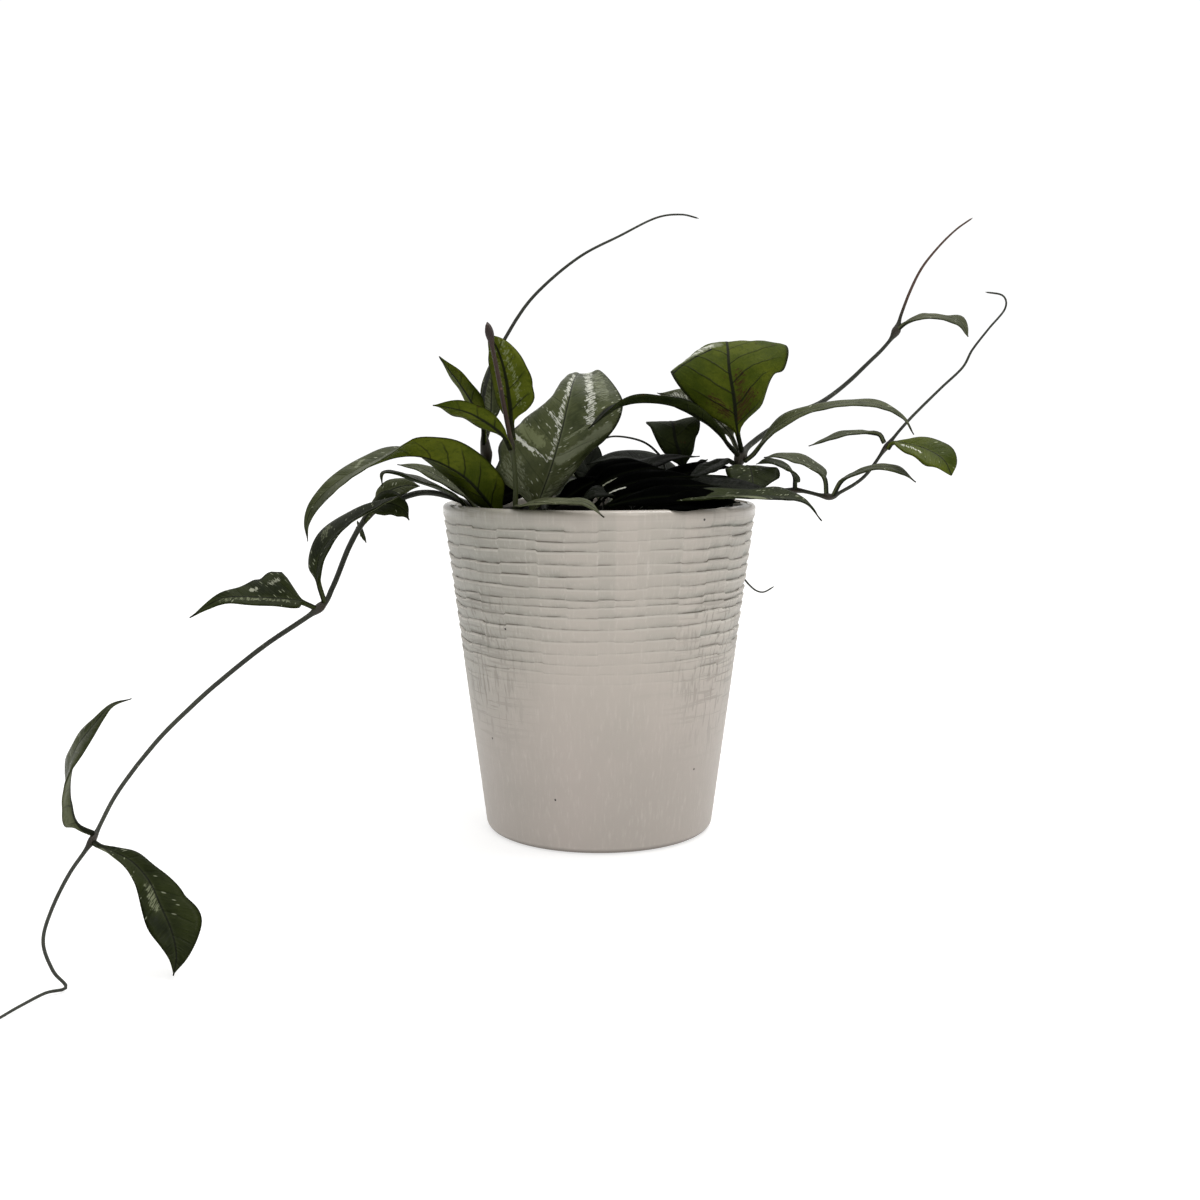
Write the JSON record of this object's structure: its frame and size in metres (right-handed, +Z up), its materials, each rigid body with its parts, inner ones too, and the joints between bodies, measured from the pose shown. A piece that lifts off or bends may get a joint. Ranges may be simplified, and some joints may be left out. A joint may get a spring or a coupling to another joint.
{
  "type": "potted hoya",
  "caption": "Hoya houseplant in a round tapered glazed pot, with trailing and upright vines, pairs of fleshy waved leaves and soil.",
  "frame": {"origin": "centre of the flat foot of the pot, on the surface it stands on", "axes": "+Z up along the pot's axis; +X to the right seen from the front, along the longest spread of the plant; -Y towards the front, where the trailing vine comes forward"},
  "size_m": [0.3793, 0.3419, 0.274],
  "materials": {
    "pot_glaze": "off-white glaze, satin to glossy",
    "soil": "dark, matte and crumbly",
    "vine": "grey-green to brown, matte",
    "shoot": "reddish young stem, matte",
    "leaf": "fleshy, waxy dark green with pale flecks",
    "leaf_young": "fleshy, waxy olive green"
  },
  "bodies": {
    "root": {"pot": "pot_glaze", "vine_trailing": "vine", "shoot_red": "shoot", "runner_tall": "vine", "stem_left": "vine", "stem_far_left": "vine", "stem_right": "vine", "runner_low": "vine", "stem_centre": "vine", "stem_front": "vine", "stem_middle": "vine", "tendril_arch": "vine", "runner_back": "vine", "stem_back": "vine", "soil": "soil", "leaf_a1": "leaf", "leaf_a2": "leaf", "leaf_a3": "leaf", "leaf_a4": "leaf", "leaf_b1": "leaf", "leaf_b2": "leaf", "leaf_b3": "leaf", "leaf_b4": "leaf", "leaf_b5": "leaf", "leaf_b6": "leaf", "leaf_c1": "leaf_young", "leaf_c2": "leaf_young", "leaf_c3": "leaf_young", "leaf_c4": "leaf", "leaf_e1": "leaf", "leaf_t1": "leaf", "leaf_f1": "leaf", "leaf_g1": "leaf", "leaf_g2": "leaf", "leaf_h1": "leaf", "leaf_i1": "leaf", "leaf_k1": "leaf", "leaf_k2": "leaf", "leaf_k3": "leaf", "leaf_k4": "leaf_young", "leaf_j1": "leaf", "leaf_l1": "leaf", "leaf_m1": "leaf", "leaf_n1": "leaf", "leaf_p1": "leaf", "leaf_p2": "leaf", "leaf_p3": "leaf", "leaf_q1": "leaf", "leaf_q2": "leaf", "leaf_r1": "leaf", "leaf_s1": "leaf", "leaf_s2": "leaf", "leaf_u1": "leaf", "leaf_u2": "leaf", "leaf_u3": "leaf", "leaf_u4": "leaf", "leaf_u5": "leaf", "leaf_u6": "leaf"}
  },
  "joints": []
}
